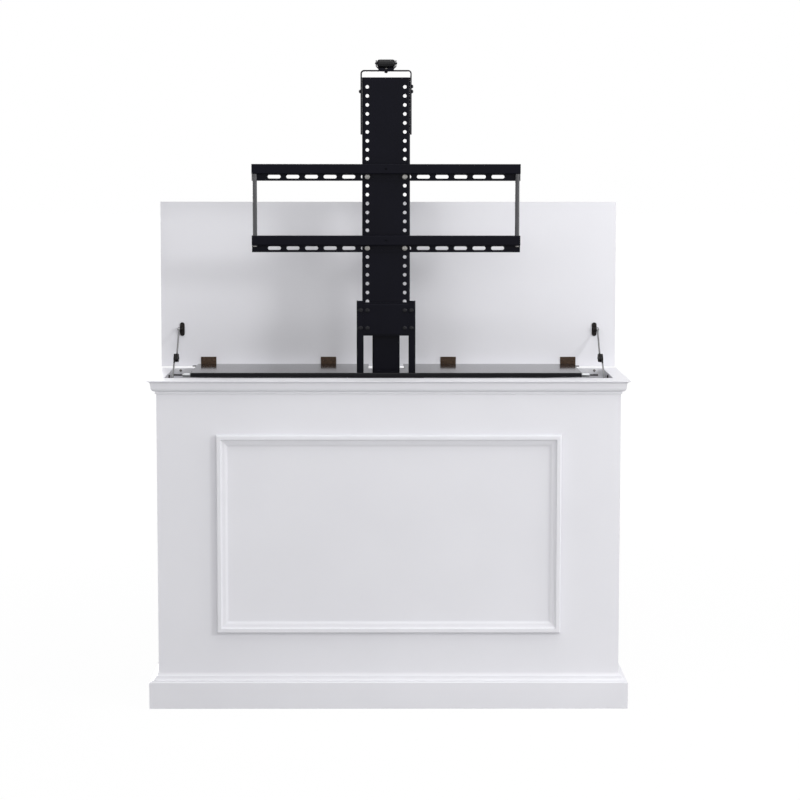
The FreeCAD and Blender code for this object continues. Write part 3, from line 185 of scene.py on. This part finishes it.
LOOKS = {
    "white_paint": dict(dark=(0.735, 0.733, 0.770), light=(0.765, 0.763, 0.800), rough=0.42, specular=0.35,
                        patch=2.5, grain=420.0, bump=0.06),
    "black_coat": dict(dark=(0.0028, 0.0028, 0.0058), light=(0.0044, 0.0044, 0.0082), rough=0.32,
                       specular=0.048, patch=9.0, grain=1500.0, bump=0.30),
    "black_gloss": dict(dark=(0.0028, 0.0028, 0.0044), light=(0.0040, 0.0040, 0.0060), rough=0.09,
                        specular=0.11, patch=4.0, grain=90.0, bump=0.01),
    "zinc": dict(dark=(0.13, 0.13, 0.125), light=(0.27, 0.26, 0.25), rough=0.42, metal=0.95, patch=260.0,
                 grain=1200.0, bump=0.3),
    "dark_zinc": dict(dark=(0.007, 0.007, 0.009), light=(0.013, 0.013, 0.016), rough=0.30, metal=0.15,
                      specular=0.14, patch=120.0, grain=1400.0, bump=0.25),
    "hinge_bronze": dict(dark=(0.030, 0.018, 0.011), light=(0.062, 0.037, 0.022), rough=0.45, metal=0.45,
                         specular=0.25, patch=150.0, grain=900.0, bump=0.3),
    "stay_steel": dict(dark=(0.16, 0.16, 0.165), light=(0.24, 0.24, 0.245), rough=0.38, metal=0.85,
                       specular=0.4, patch=90.0, grain=1000.0, bump=0.2, stretch=(1, 1, 0.2)),
    "stay_plate": dict(dark=(0.006, 0.004, 0.004), light=(0.013, 0.010, 0.009), rough=0.42, specular=0.12,
                       patch=90.0, grain=1200.0, bump=0.3),
    "gear_steel": dict(dark=(0.25, 0.25, 0.26), light=(0.36, 0.36, 0.37), rough=0.36, metal=1.0, patch=60.0,
                       grain=800.0, bump=0.25, stretch=(1, 1, 0.2)),
    "polished_rod": dict(dark=(0.030, 0.030, 0.034), light=(0.042, 0.042, 0.047), rough=0.27, specular=0.45,
                         patch=20.0, grain=1000.0, bump=0.15, stretch=(1, 1, 0.1)),
    "cast_alloy": dict(dark=(0.36, 0.37, 0.38), light=(0.46, 0.47, 0.48), rough=0.55, metal=0.9, patch=30.0,
                       grain=700.0, bump=0.5),
    "motor_paint": dict(dark=(0.012, 0.012, 0.013), light=(0.020, 0.020, 0.022), rough=0.35, specular=0.3,
                        patch=20.0, grain=500.0, bump=0.2),
    "black_plastic": dict(dark=(0.014, 0.014, 0.014), light=(0.022, 0.022, 0.022), rough=0.50, specular=0.25,
                          patch=20.0, grain=1800.0, bump=0.4),
    "guide_plastic": dict(dark=(0.60, 0.59, 0.54), light=(0.68, 0.67, 0.62), rough=0.45, patch=20.0,
                          grain=900.0, bump=0.1),
    "belt_rubber": dict(dark=(0.012, 0.012, 0.012), light=(0.022, 0.022, 0.022), rough=0.75, specular=0.2,
                        patch=30.0, grain=1600.0, bump=0.5),
    "roller_rubber": dict(dark=(0.005, 0.005, 0.006), light=(0.009, 0.009, 0.010), rough=0.26, specular=0.14,
                          patch=60.0, grain=1500.0, bump=0.25),
}
FINISHES = {name: finish_of(name, **look) for name, look in LOOKS.items()}
blacken_knuckle(FINISHES["stay_steel"])


def dress_cad_nodes():
    slots = {part["node"]: part["material_slot"] for part in frame["record"]["subparts"]}
    for node, obj in frame["nodes"].items():
        for slot in obj.material_slots:
            slot.material = FINISHES[slots[node]]


# ---- Turned and six-sided small parts ----
def ring_radius(shape, radius, turn):
    """Distance from the axis at an angle: circle, hexagon (across flats), cross or long block."""
    if shape == "hex":
        return radius / math.cos((turn % (math.pi / 3)) - math.pi / 6)
    if shape == "cross":
        on_arm = abs((turn + math.pi / 4) % (math.pi / 2) - math.pi / 4) < 0.2
        return radius if on_arm else radius * 0.35
    if shape == "block":
        return radius / (abs(math.cos(turn) / 1.75) ** 8 + abs(math.sin(turn)) ** 8) ** 0.125
    return radius


def stacked(name, rings, at, along, finish, body, samples=24, tilt=0.0, hollow=False):
    """Solid of rings (shape, radius, height) along an axis, closed at both ends or, if hollow, as a loop."""
    mesh = bmesh.new()
    rows = []
    for shape, radius, height in rings:
        row = []
        for number in range(samples):
            turn = 2 * math.pi * number / samples
            reach = ring_radius(shape, radius, turn)
            row.append(mesh.verts.new((reach * math.cos(turn), reach * math.sin(turn), height)))
        rows.append(row)
    pairs = list(zip(rows, rows[1:])) + ([(rows[-1], rows[0])] if hollow else [])
    for first, second in pairs:
        for number in range(samples):
            after = (number + 1) % samples
            mesh.faces.new((first[number], first[after], second[after], second[number]))
    if not hollow:
        mesh.faces.new(list(reversed(rows[0])))
        mesh.faces.new(rows[-1])
    data = bpy.data.meshes.new(name)
    mesh.normal_update()
    mesh.to_mesh(data)
    mesh.free()
    turned = along.to_track_quat("Z", "Y").to_matrix().to_4x4() @ Matrix.Rotation(tilt, 4, "Z")
    data.transform(Matrix.Translation(at) @ turned)
    data.shade_smooth()
    data.set_sharp_from_angle(angle=SHARP_EDGE)
    data.materials.append(FINISHES[finish])
    piece = bpy.data.objects.new(name, data)
    bpy.context.scene.collection.objects.link(piece)
    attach(piece, body)
    return piece


def hex_head(name, at, along, flats, height, washer, finish, body, tilt):
    """Hexagon head with a pressed flange, chamfered on top."""
    half = flats / 2
    thin = height * 0.27
    rings = [
        ("round", washer, 0.0), ("round", washer, thin * 0.55), ("round", washer * 0.94, thin),
        ("hex", half, thin * 1.05), ("hex", half, height * 0.86),
        ("round", half * 0.97, height * 0.97), ("round", half * 0.90, height),
        ("round", half * 0.52, height), ("round", half * 0.44, height * 0.94),
    ]
    return stacked(name, rings, at, along, finish, body, tilt=tilt)


def domed_head(name, at, along, radius, height, socket, finish, body, tilt=0.0):
    """Button head with a hexagon socket."""
    half = socket / 2
    rings = [
        ("round", radius * 0.98, 0.0), ("round", radius, height * 0.12),
        ("round", radius * 0.93, height * 0.48), ("round", radius * 0.74, height * 0.80),
        ("round", half * 1.35, height),
        ("hex", half, height * 0.97), ("hex", half, height * 0.35), ("round", half * 0.3, height * 0.28),
    ]
    return stacked(name, rings, at, along, finish, body, tilt=tilt)


def wood_screw(name, at, along, radius, height, finish, body, tilt=0.3):
    """Low screw head with a cross recess."""
    rings = [
        ("round", radius, -height * 0.3), ("round", radius, height * 0.25),
        ("round", radius * 0.82, height * 0.8), ("round", radius * 0.62, height),
        ("cross", radius * 0.52, height * 0.98), ("cross", radius * 0.40, height * 0.2),
    ]
    return stacked(name, rings, at, along, finish, body, tilt=tilt)


def socket_nut(name, at, along, flats, height, finish, body, tilt=0.0):
    """Hexagon nut with the bolt's end standing out of it."""
    half = flats / 2
    rings = [
        ("round", half * 0.95, 0.0), ("hex", half, height * 0.1), ("hex", half, height * 0.88),
        ("round", half * 0.95, height), ("round", half * 0.55, height),
        ("round", half * 0.5, height * 1.25), ("round", half * 0.3, height * 1.28),
    ]
    return stacked(name, rings, at, along, finish, body, tilt=tilt)


# ---- Pieces of the lift ----
def row_z(row):
    return HOLE_TOP - row * HOLE_PITCH


def add_bar_bolts():
    """Flange bolts of the two bars, with shank and nut behind the post."""
    flats = 0.0128
    cad_head = 0.006
    clamped = 0.0055
    seat = low("mount_bolts").y + cad_head
    back = high("mount_bolts").y
    shank = [("round", 0.0038, 0.0), ("round", 0.0038, back - seat - 0.001), ("round", 0.0032, back - seat)]
    pieces = []
    for row in BAR_ROWS:
        for side, name in SIDES:
            tag = "%d_%s" % (row, name)
            at = Vector((LIFT_X + side * HOLE_OUT, seat, row_z(row)))
            turn = 0.3 * side + 0.2 * row
            pieces.append(hex_head("bar_bolt_" + tag, at, -Y, flats, height=0.0058, washer=0.0076,
                                   finish="zinc", body="carriage", tilt=turn))
            pieces.append(stacked("bar_bolt_shank_" + tag, shank, at, Y, "zinc", "carriage", samples=20))
            pieces.append(socket_nut("bar_bolt_nut_" + tag, at + Y * clamped, Y, flats, height=0.0055,
                                     finish="zinc", body="carriage", tilt=turn))
    for piece in pieces:
        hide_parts("mount_bolts")


def add_cover_screws():
    """Domed screws of the cover plate, with their nuts, and of the two hangers."""
    head = dict(radius=0.0064, height=0.0029, socket=0.004, finish="dark_zinc", body="carriage")
    front = low("cover_plate").y
    hanger = low("shelf_hangers").y
    for row in COVER_ROWS:
        for side, name in SIDES:
            tag = "%d_%s" % (row, name)
            inner = Vector((LIFT_X + side * HOLE_OUT, front, row_z(row)))
            outer = Vector((LIFT_X + side * HANGER_SCREW_OUT, hanger, row_z(row)))
            piece = domed_head("cover_screw_" + tag, inner, -Y, **head, tilt=row)
            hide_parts("cover_screws")
            behind = Vector((inner.x, POST_Y + POST_SHEET, inner.z))
            nut = socket_nut("cover_nut_" + tag, behind, Y, flats=0.010, height=0.0038, finish="zinc",
                             body="carriage")
            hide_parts("cover_screws")
            piece = domed_head("hanger_screw_" + tag, outer, -Y, **head, tilt=row + 1.0)
            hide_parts("cover_screws")


def add_strap_screws():
    """Screws that hold the strap's legs on the post's flanges: two on the right, one on the left."""
    near, far = low("pusher_strap"), high("pusher_strap")
    y = middle("pusher_strap").y
    upper, lower = 0.0455, 0.0595
    places = (("right_upper", far.x, X, upper), ("right_lower", far.x, X, lower), ("left", near.x, -X, lower))
    for name, x, out, drop in places:
        domed_head("strap_screw_" + name, Vector((x, y, far.z - drop)), out, radius=0.0052, height=0.0047,
                   socket=0.0030, finish="dark_zinc", body="carriage")


def add_fork_bolt():
    """Head of the bolt that holds the roller's cradle on the strap."""
    fork_sheet = 0.003
    at = Vector((LIFT_X, middle("pusher_fork").y - 0.001, high("pusher_strap").z + fork_sheet))
    domed_head("fork_bolt", at, Z, radius=0.0048, height=0.0030, socket=0.003, finish="zinc", body="carriage")


def add_shelf_screws():
    """Screws through the hangers' feet, and the heads under the shelf's plate."""
    foot_out, foot_back = 0.0715, 0.252
    for side, name in SIDES:
        at = Vector((LIFT_X + side * foot_out, LIP_Y + foot_back, high("shelf_board").z + HANGER_SHEET))
        domed_head("foot_screw_" + name, at, Z, radius=0.0050, height=0.0024, socket=0.003,
                   finish="dark_zinc", body="carriage")
    for x in (-85, 85):
        for y in (135, 225, 380):
            at = Vector((LIFT_X + x * MM, LIP_Y + y * MM, low("shelf_plate").z))
            wood_screw("plate_screw_%d_%d" % (x, y), at, -Z, radius=0.0042, height=0.0018,
                       finish="dark_zinc", body="carriage")


def add_rod_ends():
    """Screw heads in the lower ends of the two rods."""
    near, far = low("end_rods"), high("end_rods")
    y = middle("end_rods").y
    rod_radius = 0.0062
    rings = [("round", 0.0052, 0.0), ("round", 0.0052, 0.0016), ("round", 0.0042, 0.0022),
             ("round", 0.0020, 0.0022), ("round", 0.0016, 0.0014)]
    for name, x in (("left", near.x + rod_radius), ("right", far.x - rod_radius)):
        stacked("rod_end_" + name, rings, Vector((x, y, near.z)), -Z, "zinc", "carriage")


def add_shelf_guides():
    """Block and pin at each front corner of the shelf, and a thin pin at each back corner."""
    near, far = low("shelf_board"), high("shelf_board")
    height = (near.z + far.z) / 2
    pin_start = 0.022
    block = [("hex", 0.0046, -0.001), ("hex", 0.0050, 0.0), ("hex", 0.0050, 0.0205),
             ("round", 0.0040, 0.0225)]
    pin = [("round", 0.0022, 0.0), ("round", 0.0022, 0.0215), ("round", 0.0025, 0.0220),
           ("round", 0.0025, 0.0240), ("round", 0.0018, 0.0246)]
    rear_pin = [("round", 0.0018, -0.001), ("round", 0.0018, 0.0150), ("round", 0.0012, 0.0160)]
    for side, end, name in ((-1, near.x, "left"), (1, far.x, "right")):
        out = X * side
        front = Vector((end, near.y + 0.012, height - 0.0006))
        back = Vector((end, far.y - 0.004, height))
        stacked("guide_block_" + name, block, front, out, "cast_alloy", "carriage")
        stacked("guide_pin_" + name, pin, front + out * pin_start, out, "dark_zinc", "carriage")
        stacked("rear_pin_" + name, rear_pin, back, out, "dark_zinc", "carriage")


def add_gearbox_fittings():
    """Four screws and the plug on the gearbox's back."""
    near, far = low("gearbox"), high("gearbox")
    centre = (near + far) / 2
    for i, x in enumerate((near.x + 0.009, far.x - 0.009)):
        for j, z in enumerate((near.z + 0.010, far.z - 0.010)):
            domed_head("gearbox_screw_%d_%d" % (i, j), Vector((x, far.y, z)), Y, radius=0.0046,
                       height=0.0026, socket=0.003, finish="zinc", body="cabinet", tilt=i + j)
    plug = [("round", 0.0075, -0.0005), ("round", 0.0080, 0.0006), ("hex", 0.0062, 0.0010),
            ("hex", 0.0062, 0.0040), ("round", 0.0050, 0.0046)]
    stacked("gearbox_plug", plug, Vector((centre.x, far.y, centre.z)), Y, "zinc", "cabinet", samples=36)


def add_motor_fittings():
    """Two bands round the motor and the screws in its lower end."""
    near, far = low("drive_motor"), high("drive_motor")
    centre = (near + far) / 2
    radius = (far.x - near.x) / 2
    band = [("round", radius + 0.0001, -0.003), ("round", radius + 0.0012, -0.0026),
            ("round", radius + 0.0012, 0.0026), ("round", radius + 0.0001, 0.003)]
    for number, z in enumerate((near.z + 0.020, far.z - 0.012)):
        at = Vector((centre.x, centre.y, z))
        stacked("motor_band_%d" % number, band, at, Z, "gear_steel", "cabinet", samples=48)
    circle = 0.0165
    for number in range(6):
        turn = math.pi * number / 3
        at = Vector((centre.x + circle * math.cos(turn), centre.y + circle * math.sin(turn), near.z))
        wood_screw("motor_screw_%d" % number, at, -Z, radius=0.0022, height=0.0010, finish="zinc",
                   body="cabinet", tilt=turn)


def add_control_box_fittings():
    """Four screws, two cable glands and the lamp of the control box."""
    near, far = low("control_box"), high("control_box")
    edge = 0.009
    for i, y in enumerate((near.y + edge, far.y - edge)):
        for j, z in enumerate((near.z + edge, far.z - edge)):
            at = Vector((far.x, y, z))
            wood_screw("box_screw_%d_%d" % (i, j), at, X, radius=0.0030, height=0.0011, finish="zinc",
                       body="cabinet", tilt=i + j)
    gland = [("round", 0.0080, -0.001), ("hex", 0.0085, 0.0), ("hex", 0.0085, 0.006),
             ("round", 0.0070, 0.0066), ("round", 0.0066, 0.012), ("round", 0.0048, 0.0145),
             ("round", 0.0030, 0.0145), ("round", 0.0028, 0.010)]
    for number, back in enumerate((0.030, 0.060)):
        at = Vector(((near.x + far.x) / 2, near.y + back, near.z))
        stacked("gland_%d" % number, gland, at, -Z, "black_plastic", "cabinet", samples=36)
    lens = [("round", 0.0026, -0.0002), ("round", 0.0028, 0.0004), ("round", 0.0022, 0.0014),
            ("round", 0.0010, 0.0018)]
    at = Vector((far.x, near.y + 0.045, far.z - 0.030))
    stacked("box_lamp", lens, at, X, "guide_plastic", "cabinet")


def add_base_washers():
    """Washers under the heads of the lift's floor bolts."""
    near, far = low("base_bolts"), high("base_bolts")
    top = high("lift_base_plate").z
    head_radius = 0.008
    washer = [("round", 0.0100, 0.0), ("round", 0.0104, 0.0003), ("round", 0.0104, 0.0013),
              ("round", 0.0100, 0.0016)]
    for i, x in enumerate((near.x + head_radius, far.x - head_radius)):
        for j, y in enumerate((near.y + head_radius, far.y - head_radius)):
            at = Vector((x, y, top))
            stacked("base_washer_%d_%d" % (i, j), washer, at, Z, "zinc", "cabinet", samples=36)


# ---- Pieces of the cabinet and the lid ----
def add_rail_screws():
    """Two screw heads on the ends of the hinge rail."""
    face = low("hinge_rail").y
    for number, x in enumerate((-0.6034, 0.5994)):
        at = Vector((x, face, 0.9090))
        wood_screw("rail_screw_%d" % number, at, -Y, radius=0.0038, height=0.0014, finish="zinc",
                   body="cabinet")


def add_knuckle_caps():
    """Moulded cap on each stay's knuckle, on the side away from the wall, with its screw."""
    arm = (STAY_TOP - KNUCKLE).normalized()
    cap_height = 0.0038
    rings = [("block", 0.0064, -0.0004), ("block", 0.0068, 0.0004), ("block", 0.0068, 0.0028),
             ("block", 0.0058, cap_height)]
    for side, name in SIDES:
        body = "stay_arm_upper_" + name
        node = "stay_upper_" + name
        face = low(node).x if side > 0 else high(node).x
        at = KNUCKLE + X * face
        out = -X * side
        turned = out.to_track_quat("Z", "Y").to_matrix()
        tilt = math.atan2((turned @ Y).dot(arm), (turned @ X).dot(arm))
        stacked("knuckle_cap_" + name, rings, at, out, "black_plastic", body, samples=48, tilt=tilt)
        wood_screw("knuckle_screw_" + name, at + out * cap_height, out, radius=0.0038, height=0.0012,
                   finish="dark_zinc", body=body)


def add_hinge_screws():
    """Three screws in each leaf of the four hinges."""
    along_lid = Vector((0, math.sin(LID_LEAN), math.cos(LID_LEAN)))
    off_lid = Vector((0, -math.cos(LID_LEAN), math.sin(LID_LEAN)))
    barrel = 0.0026
    pin = low("hinge_leaves_lid") + Vector((0, barrel, barrel))
    rim = low("hinge_leaves_fixed").z + barrel
    for number, x in enumerate(HINGE_X):
        for column, (dx, up) in enumerate(((-0.014, 0.020), (0.0, 0.012), (0.014, 0.020))):
            tag = "%d_%d" % (number, column)
            at = Vector((x + dx, pin.y, pin.z)) + along_lid * up
            wood_screw("lid_leaf_screw_" + tag, at, off_lid, radius=0.0030, height=0.0011,
                       finish="hinge_bronze", body="lid", tilt=0.4 * number + column)
            at = Vector((x + dx, pin.y - up - 0.0015, rim))
            wood_screw("rim_leaf_screw_" + tag, at, Z, radius=0.0030, height=0.0009,
                       finish="hinge_bronze", body="cabinet", tilt=0.7 * number + column)


def add_back_details():
    """Ring in the cable hole and screws of the access panel."""
    hole = Vector((0.430, high("back_panel").y, 0.150))
    ring = [("round", 0.0335, 0.0), ("round", 0.0335, 0.0012), ("round", 0.0325, 0.0022),
            ("round", 0.0285, 0.0024), ("round", 0.0272, 0.0016), ("round", 0.0268, -0.0130),
            ("round", 0.0296, -0.0130), ("round", 0.0298, 0.0)]
    stacked("cable_ring", ring, hole, Y, "black_plastic", "cabinet", samples=48, hollow=True)
    near, far = low("access_panel"), high("access_panel")
    edge = 0.008
    columns = (near.x + edge, (near.x + far.x) / 2, far.x - edge)
    rows = (near.z + edge, (near.z + far.z) / 2, far.z - edge)
    for i, x in enumerate(columns):
        for j, z in enumerate(rows):
            if (i, j) != (1, 1):
                at = Vector((x, far.y, z))
                wood_screw("access_screw_%d_%d" % (i, j), at, Y, radius=0.0042, height=0.0018,
                           finish="zinc", body="cabinet", tilt=0.5 * i + j)


# ---- Floor, background, lamps and camera ----
def shown_rays(tree):
    """1 for the rays that show the white background, 0 for those that only carry light."""
    rays = tree.nodes.new("ShaderNodeLightPath")
    shown = rays.outputs["Is Camera Ray"]
    for kind in ("Is Glossy Ray", "Is Transmission Ray"):
        either = tree.nodes.new("ShaderNodeMath")
        either.operation = "MAXIMUM"
        tree.links.new(shown, either.inputs[0])
        tree.links.new(rays.outputs[kind], either.inputs[1])
        shown = either.outputs[0]
    return shown


def mixed(tree, factor, first, second):
    mix = tree.nodes.new("ShaderNodeMixShader")
    tree.links.new(factor, mix.inputs["Fac"])
    tree.links.new(first, mix.inputs[1])
    tree.links.new(second, mix.inputs[2])
    return mix.outputs["Shader"]


def add_stage():
    """Grey floor that takes the shadow, under a white glow that grows to full away from the cabinet."""
    size = 60.0
    mesh = bpy.data.meshes.new("floor")
    corners = [(-size, -size, 0), (size, -size, 0), (size, size, 0), (-size, size, 0)]
    mesh.from_pydata(corners, [], [(0, 1, 2, 3)])
    floor = bpy.data.objects.new("floor", mesh)
    bpy.context.scene.collection.objects.link(floor)
    material = bpy.data.materials.new("floor")
    material.use_nodes = True
    tree = material.node_tree
    shader = tree.nodes["Principled BSDF"]
    shader.inputs["Roughness"].default_value = 0.9
    shader.inputs["Base Color"].default_value = (0.5, 0.5, 0.5, 1)
    shader.inputs["Specular IOR Level"].default_value = 0.0
    glow = tree.nodes.new("ShaderNodeEmission")
    glow.inputs["Color"].default_value = (1, 1, 1, 1)
    glow.inputs["Strength"].default_value = FLOOR_LIGHT
    coords = tree.nodes.new("ShaderNodeTexCoord")
    away = tree.nodes.new("ShaderNodeVectorMath")
    away.operation = "LENGTH"
    tree.links.new(coords.outputs["Object"], away.inputs[0])
    fade = spread(tree, away.outputs["Value"], (GLOW_NEAR, GLOW_FAR), (FLOOR_GLOW, 1.0))
    share = tree.nodes.new("ShaderNodeMath")
    share.operation = "MULTIPLY"
    tree.links.new(shown_rays(tree), share.inputs[0])
    tree.links.new(fade, share.inputs[1])
    surface = mixed(tree, share.outputs[0], shader.outputs["BSDF"], glow.outputs["Emission"])
    tree.links.new(surface, tree.nodes["Material Output"].inputs["Surface"])
    mesh.materials.append(material)


def add_world():
    world = bpy.data.worlds.new("studio")
    world.use_nodes = True
    tree = world.node_tree
    tree.nodes.clear()
    lights = []
    for strength in (WORLD_LIGHT, BACKDROP_LIGHT):
        light = tree.nodes.new("ShaderNodeBackground")
        light.inputs["Color"].default_value = (1, 1, 1, 1)
        light.inputs["Strength"].default_value = strength
        lights.append(light.outputs["Background"])
    out = tree.nodes.new("ShaderNodeOutputWorld")
    tree.links.new(mixed(tree, shown_rays(tree), *lights), out.inputs["Surface"])
    bpy.context.scene.world = world


LAMPS = (  # name, place, point aimed at, width, power
    ("key", (3.9, -3.4, 2.6), (0, 0.2, 0.95), 1.0, 79),
    ("side", (4.2, -0.6, 1.9), (0, 0.1, 0.8), 3.2, 84),
    ("top", (0.3, -1.2, 4.4), (0, 0.1, 0.8), 3.0, 80),
    ("front", (0.6, -6.5, 3.0), (0, 0.1, 0.8), 4.5, 59),
    ("left", (-3.6, -6.0, 2.4), (0, 0.1, 0.8), 3.0, 58),
    ("low", (0.8, -6.5, 1.5), (0, 0.1, 0.8), 3.0, 18),
    ("back", (-1.5, 6.5, 1.6), (0, 0.2, 0.7), 3.0, 130),
    ("far_side", (-4.4, 1.0, 1.9), (0, 0.1, 0.8), 3.2, 48),
)


def add_lamps():
    for name, at, aim, size, power in LAMPS:
        lamp = bpy.data.lights.new(name, "AREA")
        lamp.shape = "SQUARE"
        lamp.size = size
        lamp.energy = power
        holder = bpy.data.objects.new(name, lamp)
        holder.location = at
        holder.rotation_euler = (Vector(aim) - Vector(at)).to_track_quat("-Z", "Y").to_euler()
        bpy.context.scene.collection.objects.link(holder)


def add_camera():
    """Camera at the photograph's place, measured from the crown's front lip."""
    camera = bpy.data.cameras.new("camera")
    camera.sensor_width = 36.0
    camera.lens = 121.54
    camera.shift_y = 0.0876
    camera.clip_end = 100.0
    holder = bpy.data.objects.new("camera", camera)
    place = Vector((-0.0191, LIP_Y - 7.3843, 1.5359))
    pan, pitch, roll = -0.0067892, 0.11675, 0.00069631
    holder.matrix_world = (Matrix.Translation(place) @ Matrix.Rotation(pan, 4, "Z")
                           @ Matrix.Rotation(math.pi / 2 - pitch, 4, "X") @ Matrix.Rotation(roll, 4, "Z"))
    bpy.context.scene.collection.objects.link(holder)
    bpy.context.scene.camera = holder


dress_cad_nodes()
add_bar_bolts()
add_cover_screws()
add_strap_screws()
add_fork_bolt()
add_shelf_screws()
add_rod_ends()
add_shelf_guides()
add_rail_screws()
add_gearbox_fittings()
add_motor_fittings()
add_control_box_fittings()
add_base_washers()
add_knuckle_caps()
add_hinge_screws()
add_back_details()
add_stage()
add_world()
add_lamps()
add_camera()
bpy.context.scene.view_settings.view_transform = "Standard"
